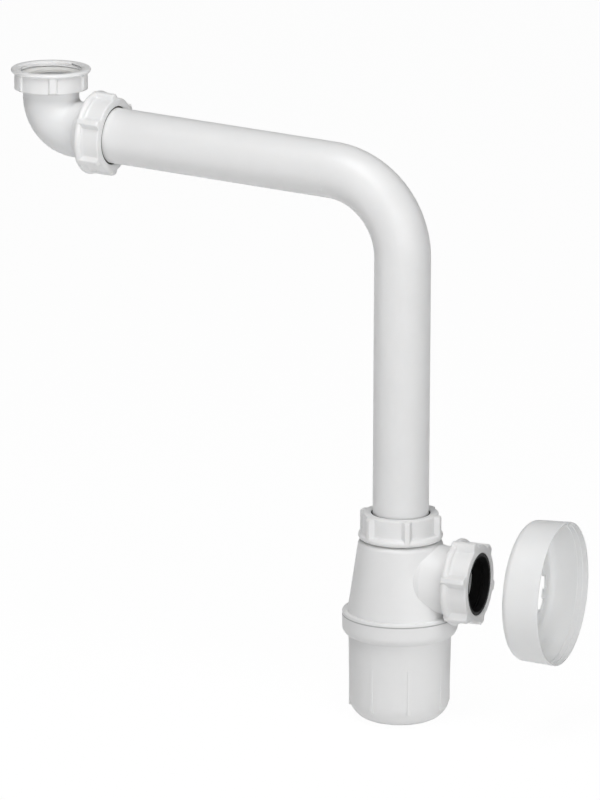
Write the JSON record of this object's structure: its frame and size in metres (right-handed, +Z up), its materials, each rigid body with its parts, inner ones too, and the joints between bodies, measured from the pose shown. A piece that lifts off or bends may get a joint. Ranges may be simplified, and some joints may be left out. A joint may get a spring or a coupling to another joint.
{
  "type": "waste trap",
  "caption": "White plastic space-saving bottle trap: swivel inlet elbow, long bent tube, screw-off cup, side outlet socket and a loose wall rosette.",
  "frame": {"origin": "centre of the inlet washer's upper face, on the axis of the inlet nut's thread", "axes": "+Z up along the inlet axis, +X level from the inlet towards the wall along the upper leg, +Y to the left of someone who faces the wall"},
  "size_m": [0.4365, 0.1025, 0.4459],
  "materials": {
    "trap_plastic": "moulded white polypropylene, satin gloss",
    "soft_plastic": "soft translucent white polyethylene",
    "seal_rubber": "black rubber, matt",
    "rosette_plastic": "thin milky white polyethylene"
  },
  "bodies": {
    "inlet": {"inlet_nut": "trap_plastic", "inlet_washer": "soft_plastic"},
    "elbow": {"inlet_elbow": "trap_plastic"},
    "elbow_ring": {"elbow_slip_ring": "soft_plastic"},
    "elbow_nut": {"elbow_nut": "trap_plastic"},
    "leg_seal": {"elbow_seal": "seal_rubber"},
    "tube": {"bent_tube": "trap_plastic"},
    "drop_seal": {"trap_seal": "seal_rubber"},
    "trap": {"trap_body": "trap_plastic", "outlet_seal": "seal_rubber"},
    "trap_ring": {"trap_slip_ring": "soft_plastic"},
    "trap_nut": {"trap_nut": "trap_plastic"},
    "outlet_ring": {"outlet_slip_ring": "soft_plastic"},
    "outlet_nut": {"outlet_nut": "trap_plastic"},
    "cup_ring": {"cup_seal": "seal_rubber"},
    "cup": {"bottle_cup": "trap_plastic"},
    "rosette": {"wall_rosette": "rosette_plastic"}
  },
  "joints": [
    {"name": "inlet_swivel", "type": "hinge", "parent": "inlet", "child": "elbow", "pos_m": [0, 0, 0], "axis": [0, 0, 1], "continuous": true},
    {"name": "elbow_nut_travel", "type": "slide", "parent": "elbow", "child": "elbow_ring", "axis": [0.999, 0, -0.0436], "range_m": [0, 0.01386]},
    {"name": "elbow_nut_turn", "type": "hinge", "parent": "elbow_ring", "child": "elbow_nut", "pos_m": [0, 0, -0.0384], "axis": [0.999, 0, -0.0436], "range_deg": [0, 2160]},
    {"name": "leg_turn", "type": "hinge", "parent": "elbow", "child": "leg_seal", "pos_m": [0, 0, -0.0384], "axis": [0.999, 0, -0.0436], "continuous": true},
    {"name": "leg_reach", "type": "slide", "parent": "leg_seal", "child": "tube", "axis": [0.999, 0, -0.0436], "range_m": [0, 0.003]},
    {"name": "drop_height", "type": "slide", "parent": "tube", "child": "drop_seal", "axis": [0, 0, 1], "range_m": [-0.036, 0.05]},
    {"name": "trap_swivel", "type": "hinge", "parent": "drop_seal", "child": "trap", "pos_m": [0.281, 0, -0.29067], "axis": [0, 0, 1], "continuous": true},
    {"name": "trap_nut_travel", "type": "slide", "parent": "trap", "child": "trap_ring", "axis": [0, 0, 1], "range_m": [0, 0.01386]},
    {"name": "trap_nut_turn", "type": "hinge", "parent": "trap_ring", "child": "trap_nut", "pos_m": [0.281, 0, -0.29067], "axis": [0, 0, 1], "range_deg": [0, 2160]},
    {"name": "outlet_nut_travel", "type": "slide", "parent": "trap", "child": "outlet_ring", "axis": [0.9976, 0.0698, 0], "range_m": [0, 0.01386]},
    {"name": "outlet_nut_turn", "type": "hinge", "parent": "outlet_ring", "child": "outlet_nut", "pos_m": [0.34145, 0.00423, -0.33707], "axis": [0.9976, 0.0698, 0], "range_deg": [0, 2160]},
    {"name": "cup_travel", "type": "slide", "parent": "trap", "child": "cup_ring", "axis": [0, 0, -1], "range_m": [0, 0.0075]},
    {"name": "cup_turn", "type": "hinge", "parent": "cup_ring", "child": "cup", "pos_m": [0.281, 0, -0.36477], "axis": [0, 0, -1], "range_deg": [0, 540]},
    {"name": "rosette_slide", "type": "slide", "parent": "trap", "child": "rosette", "axis": [0.9976, 0.0698, 0], "range_m": [-0.016, 0.04]}
  ],
  "couplings": [
    {"joint": "elbow_nut_travel", "follows": "elbow_nut_turn", "m_per_rad": 0.00036749},
    {"joint": "trap_nut_travel", "follows": "trap_nut_turn", "m_per_rad": 0.00036749},
    {"joint": "outlet_nut_travel", "follows": "outlet_nut_turn", "m_per_rad": 0.00036749},
    {"joint": "cup_travel", "follows": "cup_turn", "m_per_rad": 0.00079577}
  ]
}
